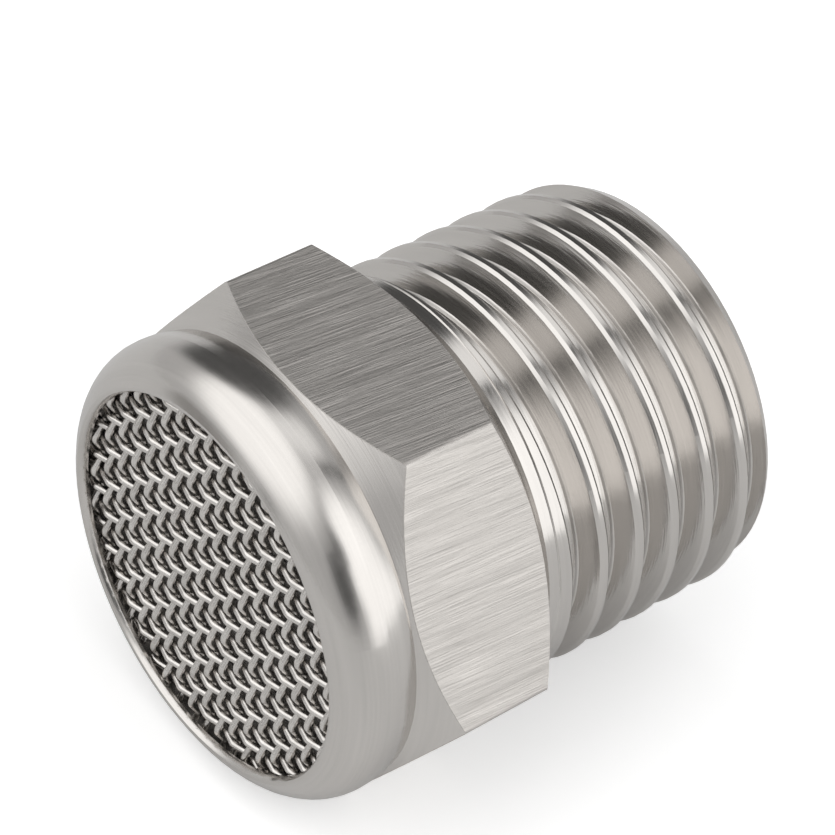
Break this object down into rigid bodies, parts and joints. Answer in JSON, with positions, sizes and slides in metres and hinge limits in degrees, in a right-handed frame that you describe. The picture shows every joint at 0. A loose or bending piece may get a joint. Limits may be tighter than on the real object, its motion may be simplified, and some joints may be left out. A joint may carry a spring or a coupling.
{
  "type": "pneumatic muffler",
  "caption": "Hex-bodied stainless pneumatic muffler with a parallel male thread and a woven wire screen held by a rolled lip.",
  "frame": {"origin": "on the thread axis, in the plane of the seating face at the back of the hexagon", "axes": "+Y along the thread axis, out of the inlet end; the screened outlet faces -Y; +Z is square to a pair of hexagon flats"},
  "size_m": [0.0162, 0.016, 0.014],
  "materials": {
    "body": "turned and brushed stainless steel",
    "screen_wire": "drawn stainless wire",
    "filter_cloth": "fine woven stainless cloth",
    "damping_pad": "compressed stainless wire wool"
  },
  "bodies": {
    "root": {"body": "body", "outlet_screen_weft": "screen_wire", "outlet_screen_warp": "screen_wire", "filter_cloth": "filter_cloth", "damping_pad": "damping_pad", "support_screen_weft": "screen_wire", "support_screen_warp": "screen_wire"}
  },
  "joints": []
}
